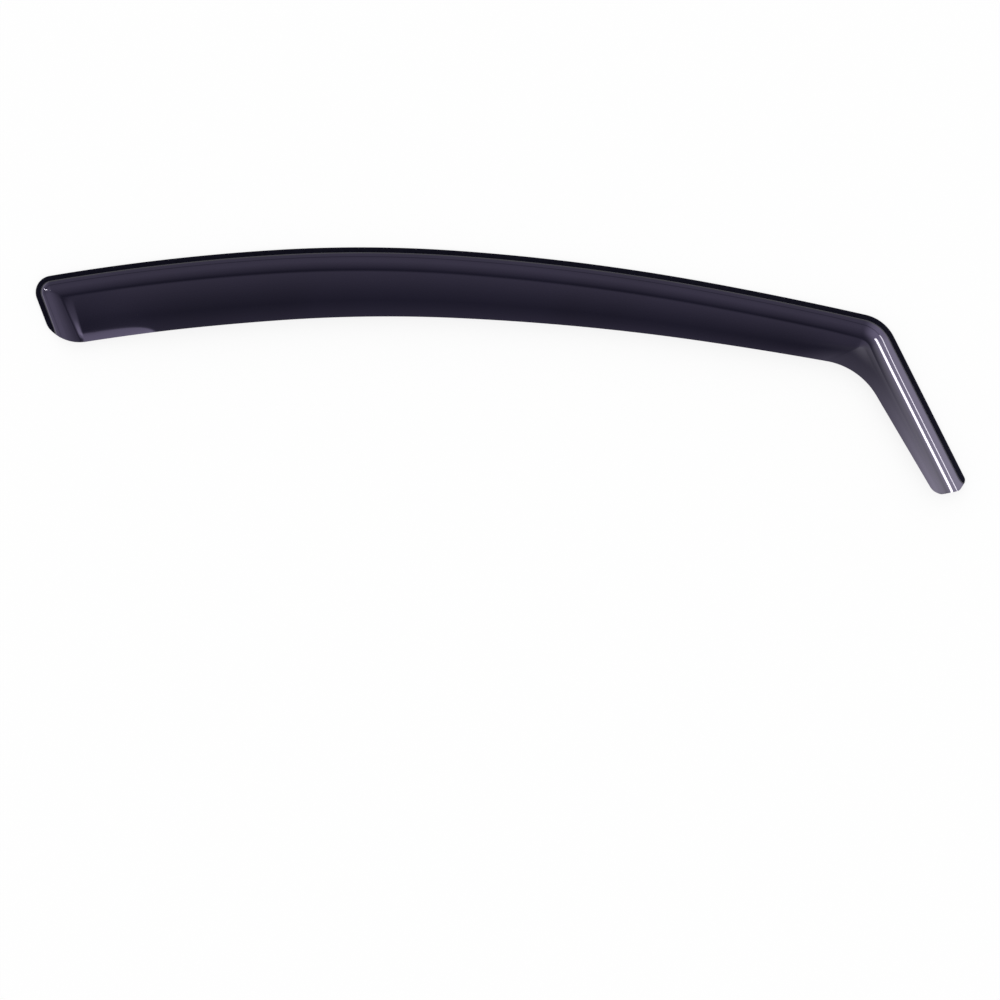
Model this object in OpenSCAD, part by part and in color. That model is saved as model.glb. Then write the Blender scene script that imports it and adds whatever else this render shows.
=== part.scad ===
// Window rain deflector for a front side window: one sheet of smoke acrylic,
// formed and trimmed. A flat flange slides into the window's rubber channel along
// the rear end, the top and the front leg, a riser lifts the sheet clear of the
// glass, and the shoulder, the crease and the bowed panel reach to the free edge.
//
// z = 0 is the back of the flange, +Z points away from the glass, +X runs forward
// to the leg and +Y up the window. The origin is on the back of the flange, halfway
// across it, under the highest point of the arch.

/* [Upper edge] */
// Radius of the upper edge at the top of the arch
crown_r = 1333; // [1250:1:1420]
// Angle of that radius in front of the highest point
crown_front_deg = 4; // [3:0.05:5]
// Angle of that radius behind the highest point
crown_rear_deg = 3.55; // [3:0.05:4.5]
// Radius of the upper edge in front of the crown
front_r = 2207; // [2000:1:2500]
// Angle of the front radius
front_deg = 6.45; // [5.5:0.05:7.5]
// Radius of the upper edge just before the leg
neck_r = 3794; // [3200:1:4500]
// Angle of the neck radius
neck_deg = 2.32; // [1.5:0.02:3]
// Radius of the upper edge towards the rear end
rear_r = 2093; // [1900:1:2400]
// Angle of the rear radius
rear_deg = 6.02; // [5:0.02:7]

/* [Rear end] */
// Radius of the upper rear corner
corner_r = 16.1; // [15:0.1:20]
// Lean of the rear end from upright
end_lean_deg = 20.8; // [14:0.1:26]
// Straight length of the rear end
end_len = 25.9; // [20:0.1:32]
// Radius where the rear end starts to turn in
heel_r = 20; // [12:0.5:30]
// Angle of the heel radius
heel_deg = 24.5; // [18:0.5:32]

/* [Panel width] */
// Width over the rear end of the panel
rear_w = 68.9; // [62:0.1:76]
// Width where the leg bends off
neck_w = 51.3; // [47:0.1:56]
// Distance behind the highest point where the panel starts to narrow
narrow_from = 151; // [100:1:190]
// Angle at which the panel still narrows at the bend
neck_taper_deg = 2.23; // [1:0.01:4]

/* [Front leg] */
// Outer radius of the bend
bend_r = 40.2; // [36:0.1:50]
// Angle of the bend
bend_deg = 50.6; // [42:0.1:60]
// Inner radius of the bend
inner_bend_r = 69.7; // [55:0.1:85]
// Length of the leg's straight outer edge
leg_len = 152.5; // [130:0.5:180]
// Width of the leg at the bend
leg_root_w = 44.1; // [40:0.1:48]
// Width of the leg at its tip
leg_tip_w = 33.8; // [31:0.1:38]

/* [Tip of the leg] */
// Radius of the outer corner
tip_outer_r = 6; // [3:0.1:8]
// Angle of the outer corner
tip_outer_deg = 60; // [50:0.5:68]
// Length of the slanted cut
tip_cut = 6.5; // [4:0.1:9]
// Radius of the middle corner
tip_mid_r = 5; // [3:0.1:7]
// Angle of the middle corner
tip_mid_deg = 45; // [36:0.5:52]
// Radius of the inner corner
tip_inner_r = 14; // [9:0.1:16]

/* [Section] */
// Thickness of the sheet
wall = 3; // [2:0.1:4]
// Width of the flat flange
flange_w = 3.9; // [3.4:0.1:5]
// Rounding of the flange's front edge
rim_r = 1; // [0.4:0.1:1.6]
// Straight height of the riser
riser_h = 2.17; // [1.5:0.01:5]
// Draft of the riser from upright
riser_draft = 10; // [6:0.5:20]
// Inside radius of the two bends beside the riser
form_r = 0.5; // [0.3:0.05:1]
// Slope of the shoulder above the riser
shoulder_deg = 28; // [22:0.5:34]
// Distance from the upper edge to where the shoulder starts to level out
knee_at = 13.5; // [12.8:0.1:15]
// Distance from the upper edge to the crease
crease_at = 20.8; // [18:0.1:23]
// Distance from the rear end to the crease, at the end's foot
heel_crease_at = 25.2; // [22:0.1:27]
// Distance from the leg's outer edge to the crease
leg_crease_at = 26.2; // [24:0.1:28]
// Slope of the panel as it leaves the crease
panel_rise_deg = 18; // [10:0.5:24]
// Slope at which the panel falls at the free edge
panel_fall_deg = 11; // [4:0.5:18]
// Slope of the leg's panel as it leaves the crease
leg_rise_deg = 4; // [2:0.5:8]
// Slope at which the leg's panel falls at its free edge
leg_fall_deg = 9; // [4:0.5:14]
// Radius along the bottom of the crease
crease_r = 6; // [4:0.5:10]

/* [Details] */
// Distance from the upper edge to the styling line
line_at = 9.2; // [8.4:0.1:10.5]
// Distance from the leg's outer edge to the styling line
leg_line_at = 12.4; // [11.5:0.1:12.6]
// Width of the styling line
line_w = 0.8; // [0.5:0.1:1.2]
// How much flatter the styling line is than the shoulder
line_deg = 10; // [4:0.5:14]
// Width of the lip beside the rear end, at the corner
lip_w = 11.4; // [9:0.1:13]
// Width of the lip at the foot of the rear end
heel_lip_w = 4.6; // [3.5:0.1:6]
// Width of the rolled lower edge at the rear
roll_w = 7.7; // [5:0.1:10]
// Depth of the rolled lower edge
roll_h = 2.2; // [0:0.1:3]
// Length over which the rolled edge fades out
roll_len = 62; // [40:1:90]
// Length over which the flange runs out at the tip
run_out = 10; // [6:0.5:16]

/* [Hidden] */
smoke = [0.10, 0.09, 0.15];

// Stretches of the sheet from the rear end to the tip, and the steps in each
END = 0;
CORNER = 1;
REAR = 2;
FRONT = 3;
BEND = 4;
LEG = 5;
steps = [6, 10, 14, 24, 12, 12];
last = steps[END] + steps[CORNER] + steps[REAR] + steps[FRONT] + steps[BEND] + steps[LEG];

// The bent sheet keeps its thickness round the outside of each bend
outer_form_r = wall + form_r;
riser_deg = 90 - riser_draft;
// The level flange is only a rim's width where it has run out
flange_min = rim_r + 0.2;
// Smallest corner that the forming tool leaves in the rear end's inner lines
min_corner_r = 2;
// Straight run that the tool blends the leg's section over, beside the bend
blend_run = 25;
// Width of the strip beside the leg's crease
leg_lip_w = 3;
// The free edge's direction behind the bend is taken this far from the leg
fit_run = 40;
// The free edge's first station stands this far past the toe
toe_gap = 4;
// The free edge's last station stands this far short of the inner bend
last_gap = 2;
// Share of the free edge's rear length at which the rear corner's stations end
free_turn_share = 0.84;
// Shares of the lip's width at which the sheet has a line
lip_lines = [0.25, 0.55, 0.8, 1];
// Shares of the panel's width beyond the lip at which the sheet has a line
panel_lines = [0.2, 0.4, 0.6, 0.8, 0.9, 1];

// A pose is [x, y, heading], and a path turns clockwise
function turned(p, r, a) = [
    p.x + r * (sin(p.z) - sin(p.z - a)),
    p.y - r * (cos(p.z) - cos(p.z - a)),
    p.z - a
];
function ahead(p, d) = [p.x + d * cos(p.z), p.y + d * sin(p.z), p.z];
function inward(p, e) = [p.x + e * sin(p.z), p.y - e * cos(p.z)];
function arc_len(r, a) = r * a * PI / 180;
function flip(v) = [-v.x, v.y];
function mix(a, b, t) = a + (b - a) * t;
function clamp(t) = min(1, max(0, t));
function smooth(t) = let (c = clamp(t)) c * c * (3 - 2 * c);

// The upper edge as arcs of [radius, angle], to the front and to the rear
crown = [0, flange_w / 2, 0];
front_arcs = [[crown_r, crown_front_deg], [front_r, front_deg], [neck_r, neck_deg]];
rear_arcs = [[crown_r, crown_rear_deg], [rear_r, rear_deg]];
front_len = total(front_arcs);
rear_len = total(rear_arcs);
bend_len = arc_len(bend_r, bend_deg);

function total(arcs, k = 0) =
    k == len(arcs) ? 0 : arc_len(arcs[k][0], arcs[k][1]) + total(arcs, k + 1);
function along(p, arcs, s, k = 0) =
    let (r = arcs[k][0], length = arc_len(r, arcs[k][1]))
    s <= length || k == len(arcs) - 1
        ? turned(p, r, s / r * 180 / PI)
        : along(turned(p, r, arcs[k][1]), arcs, s - length, k + 1);

// A point at distance e inside the upper edge, s along it from the highest point
function edge_point(s, e) =
    s >= 0
        ? inward(along(crown, front_arcs, s), e)
        : flip(inward(along(crown, rear_arcs, -s), e));

// Width of the panel along the upper edge
function width(s) =
    let (run = front_len + narrow_from, t = clamp((s + narrow_from) / run))
    mix(rear_w, neck_w, smooth(t)) - tan(neck_taper_deg) * run * (t * t * t - t * t);
function free_point(s) = edge_point(s, width(s));

// The rear corner and the rear end, worked out with x reversed
corner_start = along(crown, rear_arcs, rear_len);
corner_deg = 90 + end_lean_deg + corner_start.z;
corner_end = turned(corner_start, corner_r, corner_deg);
corner_centre = inward(corner_start, corner_r);
half_corner = (180 - corner_deg) / 2;
into_corner = corner_start.z - corner_deg / 2;
// An inner line turns the corner nearer the panel than the upper edge does
function corner_shift(e) = max(0, e + min_corner_r - corner_r);
function corner_setback(e) = corner_shift(e) / tan(half_corner);
function end_point(e, t) = flip(inward(ahead(corner_end, t), e));
function corner_point(e, a) =
    let (
        c = inward([corner_centre.x, corner_centre.y, into_corner], corner_shift(e) / sin(half_corner)),
        r = max(corner_r - e, min_corner_r)
    )
    flip(inward([c.x, c.y, corner_start.z - a], -r));
// How far a point lies inside the rear end's line, and how far down it
function end_depth(p) = inward_of(corner_end, flip(p));
function end_run(p) = ahead_of(corner_end, flip(p));
function inward_of(q, p) = (p.x - q.x) * sin(q.z) - (p.y - q.y) * cos(q.z);
function ahead_of(q, p) = (p.x - q.x) * cos(q.z) + (p.y - q.y) * sin(q.z);

// The heel: a short arc, then one that meets the free edge at a tangent
rear_centre = inward(turned(crown, crown_r, crown_rear_deg), rear_r);
crown_centre = inward(crown, crown_r);
free_r = rear_r - rear_w;
heel_start = turned(ahead(corner_end, end_len), heel_r, heel_deg);
heel_in = [sin(heel_start.z), -cos(heel_start.z)];
heel_arm = [heel_start.x, heel_start.y] - rear_centre;
toe_r = (heel_arm * heel_arm - free_r * free_r) / (2 * (free_r - heel_in * heel_arm));
toe_centre = inward(heel_start, toe_r);
toe_arm = toe_centre - rear_centre;
toe_deg = 360 + heel_start.z - atan2(toe_arm.x, -toe_arm.y);
heel_line = [
    for (a = [0 : heel_deg / 4 : heel_deg])
        [heel_r * (1 - cos(a)), heel_r * sin(a)],
    for (a = [toe_deg / 12 : toe_deg / 12 : toe_deg + 0.001])
        [
            heel_r * (1 - cos(heel_deg)) + toe_r * (cos(heel_deg) - cos(heel_deg + a)),
            heel_r * sin(heel_deg) + toe_r * (sin(heel_deg + a) - sin(heel_deg))
        ]
];
toe_end = heel_line[len(heel_line) - 1];
toe_dir = [sin(heel_deg + toe_deg), cos(heel_deg + toe_deg)];
free_start = toe_end + toe_gap * toe_dir;
heel_table = [each heel_line, toe_end + 5 * toe_gap * toe_dir];
function heel_at(e) = end_len + lookup(e, heel_table);
free_start_point = end_point(free_start[0], end_len + free_start[1]);
free_arm = flip(free_start_point) - rear_centre;
free_rear_len = arc_len(crown_r, crown_rear_deg)
    + arc_len(rear_r, -atan2(-free_arm.x, free_arm.y) - crown_rear_deg);

// The leg, measured from the end of the bend
bend_start = along(crown, front_arcs, front_len);
bend_end = turned(bend_start, bend_r, bend_deg);
leg_taper = (leg_root_w - leg_tip_w) / leg_len;
leg_taper_deg = atan(leg_taper);
function leg_point(e, t) = inward(ahead(bend_end, t), e);

// The tip: corner, slanted cut, corner, end, corner, as [distance inside, along]
tip_a = [tip_outer_r * (1 - cos(tip_outer_deg)), leg_len + tip_outer_r * sin(tip_outer_deg)];
tip_b = tip_a + tip_cut * [sin(tip_outer_deg), cos(tip_outer_deg)];
tip_end_deg = tip_outer_deg + tip_mid_deg;
tip_c = tip_b + tip_mid_r * [cos(tip_outer_deg) - cos(tip_end_deg), sin(tip_end_deg) - sin(tip_outer_deg)];
inner_deg = 180 - leg_taper_deg;
tip_round = tip_inner_r * [cos(tip_end_deg) - cos(inner_deg), sin(inner_deg) - sin(tip_end_deg)];
tip_end_len = (leg_tip_w + leg_taper * leg_len - (tip_c + tip_round) * [1, leg_taper])
    / ([sin(tip_end_deg), cos(tip_end_deg)] * [1, leg_taper]);
tip_d = tip_c + tip_end_len * [sin(tip_end_deg), cos(tip_end_deg)];
tip_table = [
    for (a = [0 : tip_outer_deg / 6 : tip_outer_deg])
        [tip_outer_r * (1 - cos(a)), leg_len + tip_outer_r * sin(a)],
    for (a = [tip_outer_deg : tip_mid_deg / 4 : tip_end_deg])
        tip_b + tip_mid_r * [cos(tip_outer_deg) - cos(a), sin(a) - sin(tip_outer_deg)],
    for (a = [tip_end_deg : (inner_deg - tip_end_deg) / 14 : inner_deg + 0.001])
        tip_d + tip_inner_r * [cos(tip_end_deg) - cos(a), sin(a) - sin(tip_end_deg)]
];
tip_last = tip_d + tip_round;
function tip_at(e) = lookup(e, tip_table);

// The inner bend is an arc between the free edge and the leg's inner edge
before_bend = front_len - fit_run;
free_near = free_point(before_bend);
free_ahead = free_point(before_bend + 1) - free_point(before_bend - 1);
free_dir = free_ahead / norm(free_ahead);
inner_heading = bend_end.z + leg_taper_deg;
inner_dir = [cos(inner_heading), sin(inner_heading)];
inner_start = leg_point(leg_root_w, 0);
inner_turn = atan2(free_dir.y, free_dir.x) - inner_heading;
bend_gap = cross(inner_start - free_near, inner_dir) / cross(free_dir, inner_dir);
inner_tangent = inner_bend_r * tan(inner_turn / 2);
inner_bend_start = free_near + (bend_gap - inner_tangent) * free_dir;
inner_bend_pose = [inner_bend_start.x, inner_bend_start.y, inner_heading + inner_turn];
free_front_len = before_bend + bend_gap - inner_tangent - last_gap;

// Station i: its stretch, and how far along that stretch it is
function stretch(i, z = 0, n = 0) =
    i <= n + steps[z] || z == LEG ? [z, (i - n) / steps[z]] : stretch(i, z + 1, n + steps[z]);
// Stations crowd towards the tip, where the flange runs out
function leg_share(q) = 1 - pow(1 - q, 2);

// A point on the line at distance e inside the upper edge
function line_point(i, e) =
    let (z = stretch(i)[0], q = stretch(i)[1])
    z == END ? end_point(e, mix(heel_at(e), corner_setback(e), q)) :
    z == CORNER ? corner_point(e, corner_deg * (1 - q)) :
    z == REAR ? edge_point((corner_setback(e) - rear_len) * (1 - q), e) :
    z == FRONT ? edge_point(front_len * q, e) :
    z == BEND ? inward(turned(bend_start, bend_r, bend_deg * q), e) :
    leg_point(e, leg_share(q) * tip_at(e));

// Where the station's cross-section meets the free edge, as a place along the upper edge
function free_at(i) =
    let (z = stretch(i)[0], q = stretch(i)[1], rear = free_rear_len * free_turn_share)
    z <= CORNER ? -mix(free_rear_len, rear, i / (steps[END] + steps[CORNER])) :
    z == REAR ? -(rear_len * (1 - q) - (rear_len - rear) * pow(1 - q, 4)) :
    front_len * q - (front_len - free_front_len) * pow(q, 4);
function free_edge(i) =
    let (z = stretch(i)[0], q = stretch(i)[1])
    i == 0 ? free_start_point :
    z <= FRONT ? free_point(free_at(i)) :
    z == BEND ? xy(turned(inner_bend_pose, inner_bend_r, inner_turn * q)) :
    mix(bend_foot, leg_point(tip_last[0], tip_last[1]), leg_share(q));
bend_foot = xy(turned(inner_bend_pose, inner_bend_r, inner_turn));
function xy(p) = [p.x, p.y];

// How much a station's section is the leg's, from 0 to 1
function leg_part(i) =
    let (z = stretch(i)[0], q = stretch(i)[1])
    z < FRONT ? 0 :
    let (s = z == FRONT ? front_len * (q - 1) :
             z == BEND ? bend_len * q : bend_len + leg_share(q) * leg_len)
    smooth((s + blend_run) / (bend_len + 2 * blend_run));
function crease_e(i) =
    let (z = stretch(i)[0], q = stretch(i)[1])
    z == END ? mix(heel_crease_at, crease_at, q) : mix(crease_at, leg_crease_at, leg_part(i));
function lip_e(i) =
    let (z = stretch(i)[0], q = stretch(i)[1])
    z == END ? mix(heel_lip_w, lip_w, q) : mix(lip_w, leg_lip_w, leg_part(i));
// The flange narrows in a quarter ellipse as it runs out at the tip
function flange_e(i) =
    let (
        q = stretch(i)[0] == LEG ? leg_share(stretch(i)[1]) : 0,
        t = clamp(1 - (1 - q) * leg_len / run_out)
    )
    mix(flange_min, flange_w, sqrt(1 - t * t));

// Section from the upper edge to the crease: front [distance inside, height], then back
function sheet(e, z, a) = [e, z, e + wall * sin(a), z - wall * cos(a)];
function section(i) =
    let (
        f = flange_e(i),
        crease = crease_e(i),
        line = mix(line_at, leg_line_at, leg_part(i)),
        riser_len = riser_h / sin(riser_deg) - (flange_w - f) * tan(shoulder_deg) / sin(riser_deg),
        foot_e = f + form_r * sin(riser_deg),
        foot_z = wall + form_r * (1 - cos(riser_deg)),
        top_e = foot_e + riser_len * cos(riser_deg),
        top_z = foot_z + riser_len * sin(riser_deg),
        shoulder_e = top_e + outer_form_r * (sin(riser_deg) - sin(shoulder_deg)),
        shoulder_z = top_z + outer_form_r * (cos(shoulder_deg) - cos(riser_deg)),
        line_z = shoulder_z + (line - line_w / 2 - shoulder_e) * tan(shoulder_deg),
        line_end_z = line_z + line_w * tan(shoulder_deg - line_deg),
        knee_z = line_end_z + (knee_at - line - line_w / 2) * tan(shoulder_deg),
        knee_r = (crease - knee_at) / sin(shoulder_deg),
        line_slope = shoulder_deg - line_deg / 2
    )
    [
        for (a = [0 : 30 : 90])
            let (e = rim_r * (1 - cos(a))) [e, wall - rim_r * (1 - sin(a)), e, 0],
        sheet(f, wall, 0),
        sheet(f + form_r * sin(riser_deg / 2), wall + form_r * (1 - cos(riser_deg / 2)), riser_deg / 2),
        sheet(foot_e, foot_z, riser_deg),
        for (k = [0 : 3])
            let (a = mix(riser_deg, shoulder_deg, k / 3))
            sheet(
                top_e + outer_form_r * (sin(riser_deg) - sin(a)),
                top_z + outer_form_r * (cos(a) - cos(riser_deg)),
                a
            ),
        sheet(line - line_w / 2, line_z, line_slope),
        sheet(line + line_w / 2, line_end_z, line_slope),
        for (k = [0 : 4])
            let (a = shoulder_deg * (1 - k / 4))
            sheet(
                knee_at + knee_r * (sin(shoulder_deg) - sin(a)),
                knee_z + knee_r * (cos(a) - cos(shoulder_deg)),
                a
            )
    ];

// Height of the panel above the crease: a small hollow, then one long bow
function bow(u, run, rise, fall) =
    let (
        u1 = crease_r * sin(rise),
        r = (run - u1) / (sin(rise) + sin(fall)),
        v = u - u1 - r * sin(rise)
    )
    u <= 0 ? 0 :
    u < u1 ? crease_r - sqrt(crease_r * crease_r - u * u) :
    crease_r * (1 - cos(rise)) + sqrt(r * r - v * v) - r * cos(rise);
// A ramp from 0 to 1 that starts softly and ends with a crisper edge
function ramp(t, soft, crisp) =
    let (c = clamp(t), k = 1 / (1 - soft / 2 - crisp / 2))
    c < soft ? k * c * c / (2 * soft) :
    c < 1 - crisp ? k * (c - soft / 2) :
    1 - k * (1 - c) * (1 - c) / (2 * crisp);

// Distance from the upper edge behind the highest point
function rear_depth(p) =
    let (q = flip(p), arm = q - rear_centre)
    atan2(arm.x, arm.y) > crown_rear_deg ? rear_r - norm(arm) : crown_r - norm(q - crown_centre);
function panel_height(i, p, e) =
    let (
        z = stretch(i)[0],
        part = leg_part(i),
        rise = mix(panel_rise_deg, leg_rise_deg, part),
        fall = mix(panel_fall_deg, leg_fall_deg, part),
        run = station_width(i) - mix(crease_at, leg_crease_at, part)
    )
    z > REAR ? bow(e - crease_e(i), run, rise, fall) :
    let (
        u = rear_depth(p) - crease_at,
        down = clamp(end_run(p) / heel_at(crease_at)),
        beside = end_depth(p) - mix(crease_at, heel_crease_at, down),
        fade = 1 - smooth((beside - lip_w) / roll_len),
        roll = roll_h * fade * (1 - ramp((run - u) / roll_w, 0.3, 0.5))
    )
    (bow(u, run, rise, fall) - roll) * ramp(beside / mix(lip_w, heel_lip_w, down), 0.25, 0.2);
function station_width(i) =
    let (z = stretch(i)[0], q = stretch(i)[1])
    z <= FRONT ? width(free_at(i)) :
    z == BEND ? mix(width(free_front_len), leg_root_w, smooth(q)) :
    mix(leg_root_w, tip_last[0], leg_share(q));

// Front of the sheet at station i, from the upper edge to the free edge
function panel_share(i, t) =
    let (z = stretch(i)[0], q = stretch(i)[1], root = last - steps[LEG], e = crease_e(i) + lip_e(i))
    z < LEG || q == 0
        ? mix(line_point(i, e), free_edge(i), t)
        : let (e_tip = mix(crease_e(last) + lip_e(last), tip_last[0], t))
          mix(panel_share(root, t), leg_point(e_tip, tip_at(e_tip)), leg_share(q));
function front_of(i) =
    let (s = section(i), crease_z = s[len(s) - 1][1], c = crease_e(i), lip = lip_e(i))
    [
        for (v = s) let (p = line_point(i, v[0])) [p.x, p.y, v[1]],
        for (t = lip_lines)
            let (e = c + lip * t, p = line_point(i, e))
            [p.x, p.y, crease_z + panel_height(i, p, e)],
        for (t = panel_lines)
            let (e = mix(c + lip, station_width(i), t), p = panel_share(i, t))
            [p.x, p.y, crease_z + panel_height(i, p, e)]
    ];

// Back of the sheet: the section's own back, then the front moved in by the thickness.
// The two end stations take their direction from the stations beside them.
function back_of(i, front) =
    let (s = section(i), n = len(s), m = len(front[i]), k = min(last - 1, max(1, i)))
    [
        for (v = s) let (p = line_point(i, v[2])) [p.x, p.y, v[3]],
        for (j = [n : m - 1])
            let (
                over = front[k][min(m - 1, j + 1)] - front[k][j - 1],
                normal = cross(over, front[k + 1][j] - front[k - 1][j])
            )
            front[i][j] - wall * normal / norm(normal)
    ];

// A closed skin over rows of front and back points
module skin(front, back) {
    m = len(front);
    n = len(front[0]);
    at = m * n;
    function quad(a, b, c, d) = [[a, b, c], [a, c, d]];
    polyhedron(
        points = [for (row = front) each row, for (row = back) each row],
        faces = [
            for (i = [0 : m - 2], j = [0 : n - 2])
                let (k = i * n + j)
                each [
                    each quad(k, k + n, k + n + 1, k + 1),
                    each quad(at + k, at + k + 1, at + k + n + 1, at + k + n)
                ],
            for (i = [0 : m - 2], j = [0, n - 1])
                let (k = i * n + j)
                each j == 0 ? quad(k, at + k, at + k + n, k + n) : quad(k, k + n, at + k + n, at + k),
            for (j = [0 : n - 2], i = [0, m - 1])
                let (k = i * n + j)
                each i == 0 ? quad(k, k + 1, at + k + 1, at + k) : quad(k, at + k, at + k + 1, k + 1)
        ],
        convexity = 6
    );
}

module deflector() {
    front = [for (i = [0 : last]) front_of(i)];
    back = [for (i = [0 : last]) back_of(i, front)];
    color(smoke)
        skin(front, back);
}

deflector();
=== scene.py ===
# %% [markdown]
# # A window rain deflector in smoke acrylic
# The real object is one sheet of dark smoke acrylic, 3 mm thick, that is heated, pressed over a
# form and trimmed. Its flat flange slides into the rubber channel of a front side window, and the
# rest of the sheet stands off the glass and turns rain and wind away from the gap.
# It has no other parts, so this lesson makes one mesh with two finishes, and a studio round it.

from math import atan, atan2, cos, hypot, pi, radians, sin, sqrt, tan

import bpy
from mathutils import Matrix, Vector


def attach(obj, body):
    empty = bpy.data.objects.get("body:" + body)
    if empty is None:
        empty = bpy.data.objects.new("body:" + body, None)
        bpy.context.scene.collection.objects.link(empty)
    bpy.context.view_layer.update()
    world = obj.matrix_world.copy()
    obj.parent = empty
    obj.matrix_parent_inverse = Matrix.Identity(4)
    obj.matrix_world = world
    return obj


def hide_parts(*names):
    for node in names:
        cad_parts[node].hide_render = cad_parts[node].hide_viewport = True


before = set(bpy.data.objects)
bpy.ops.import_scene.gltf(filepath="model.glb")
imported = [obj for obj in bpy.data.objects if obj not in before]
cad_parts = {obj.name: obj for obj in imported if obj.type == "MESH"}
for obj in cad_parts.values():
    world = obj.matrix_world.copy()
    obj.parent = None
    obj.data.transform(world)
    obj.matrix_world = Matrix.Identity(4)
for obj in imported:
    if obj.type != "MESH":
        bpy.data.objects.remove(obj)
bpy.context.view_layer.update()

MM = 0.001  # the lengths below are in millimetres, and Blender's are in metres

# %% [markdown]
# ## The camera
# The photograph looks square on at the deflector as it lies on its back, from so far away that
# near and far parts show at one scale. A camera straight above with a long lens gives the same
# view. Its lens comes from two numbers that can be measured: how far away it stands, and how many
# millimetres of the object's plane the square picture spans.

# %% Place the camera
PICTURE_WIDTH = 968.6 * MM
PICTURE_CENTRE = (135.4 * MM, -242.8 * MM)
CAMERA_HEIGHT = 12.0

camera_data = bpy.data.cameras.new("camera")
camera_data.sensor_width = 36
camera_data.lens = camera_data.sensor_width * CAMERA_HEIGHT / PICTURE_WIDTH
camera_data.clip_end = 100
camera = bpy.data.objects.new("camera", camera_data)
camera.location = (*PICTURE_CENTRE, CAMERA_HEIGHT)
bpy.context.scene.collection.objects.link(camera)
bpy.context.scene.camera = camera
bpy.context.scene.view_settings.view_transform = "Standard"
print("lens:", round(camera_data.lens), "mm at", CAMERA_HEIGHT, "m")


# %% [markdown]
# ## A few helpers for nodes
# A material, a lamp and the world are all small trees of nodes. Writing them out node by node
# hides the idea behind the wiring, so one helper adds a node, sets its options and plugs in its
# inputs. An input is either a plain number or the output of a node made before.

# %% Add a node and wire it
def add_node(tree, kind, inputs=(), **options):
    node = tree.nodes.new("ShaderNode" + kind)
    for name, value in options.items():
        setattr(node, name, value)
    for name, value in dict(inputs).items():
        if isinstance(value, bpy.types.NodeSocket):
            tree.links.new(value, node.inputs[name])
        else:
            node.inputs[name].default_value = value
    return node


def add_math(tree, operation, *values, clamp=False):
    node = add_node(tree, "Math", dict(enumerate(values)), operation=operation, use_clamp=clamp)
    return node.outputs[0]


def add_ramp(tree, value, stops, interpolation="EASE"):
    """Grey levels or colours at places from 0 to 1."""
    node = add_node(tree, "ValToRGB", {0: value})
    node.color_ramp.interpolation = interpolation
    points = node.color_ramp.elements
    while len(points) < len(stops):
        points.new(0.5)
    for point, (place, level) in zip(points, stops):
        point.position = place
        point.color = (*level, 1) if isinstance(level, tuple) else (level, level, level, 1)
    return node.outputs[0]


def remap(tree, value, low, high, to_low=0.0, to_high=1.0):
    node = add_node(
        tree,
        "MapRange",
        {0: value, 1: low, 2: high, 3: to_low, 4: to_high},
        interpolation_type="SMOOTHSTEP",
    )
    return node.outputs[0]


# %% [markdown]
# ## The studio around it
# Dark glossy plastic has almost no colour of its own: what we see on it is the room. Each slope
# of the sheet shows one part of the room, so the room is designed from the photograph. Level parts
# are near black, so straight above it is dark. Parts that lean by about 28 degrees are grey, so the
# walls are light. A world whose strength depends on direction does this with no objects at all.
# Only reflections see this room. Everything else is lit by a plain white one, so the floor is even.

# %% The world: dark overhead, light walls, brighter on the left
world = bpy.data.worlds.new("studio")
bpy.context.scene.world = world
world.use_nodes = True
room = world.node_tree
room.nodes.clear()

direction = add_node(room, "TexCoord").outputs["Generated"]
parts = add_node(room, "SeparateXYZ", {0: direction}).outputs
tilt = add_math(room, "DIVIDE", add_math(room, "ARCCOSINE", parts[2]), pi / 180)
HORIZON = 90
WALL_LEVELS = {0: 0.19, 6: 0.26, 14: 0.36, 36: 0.72, 56: 0.98, HORIZON: 1.3}  # by degrees of tilt
walls = add_ramp(
    room,
    add_math(room, "DIVIDE", tilt, float(HORIZON)),
    [(degrees / HORIZON, level) for degrees, level in WALL_LEVELS.items()],
    "LINEAR",
)
upward = add_math(room, "POWER", parts[2], 2.0)
level = add_math(room, "SQRT", add_math(room, "SUBTRACT", 1.0, upward))


def towards(azimuth, narrow, wide):
    """1 within narrow degrees of an azimuth, 0 beyond wide degrees."""
    a = radians(azimuth)
    across = add_math(
        room,
        "ADD",
        add_math(room, "MULTIPLY", parts[0], cos(a)),
        add_math(room, "MULTIPLY", parts[1], sin(a)),
    )
    facing = add_math(room, "DIVIDE", across, add_math(room, "MAXIMUM", level, 0.001))
    return remap(room, facing, cos(radians(wide)), cos(radians(narrow)))


def glow(azimuth, narrow, wide, low, high, strength):
    """A lighter side of the room. It sets in at tilt low and is full from tilt high outwards."""
    spread = remap(room, tilt, low, high, 0.0, strength)
    return add_math(room, "MULTIPLY", towards(azimuth, narrow, wide), spread)


contrast = WALL_LEVELS[HORIZON] / WALL_LEVELS[0]
print("the horizon is", round(contrast, 1), "times as light as the room above")


# %% Lighter sides, and a paler, dimmer horizon that only low views see
LEG_SIDE, REAR_SIDE, FREE_SIDE = 26.6, 190, 270  # azimuths in degrees
GLOWS = (
    (LEG_SIDE, 14, 50, 6, 48, 2.5),  # on the leg's shoulder
    (REAR_SIDE, 40, 90, 54, 76, 2.6),  # on the rear end's edge
    (REAR_SIDE, 50, 90, 4, 24, 0.22),  # on the rear end's crease
    (FREE_SIDE, 30, 80, 26, 54, 1.8),  # on the rolled free edge
)
VIOLET, PALE = (0.83, 0.75, 1.06, 1), (0.88, 0.86, 0.94, 1)

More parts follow.
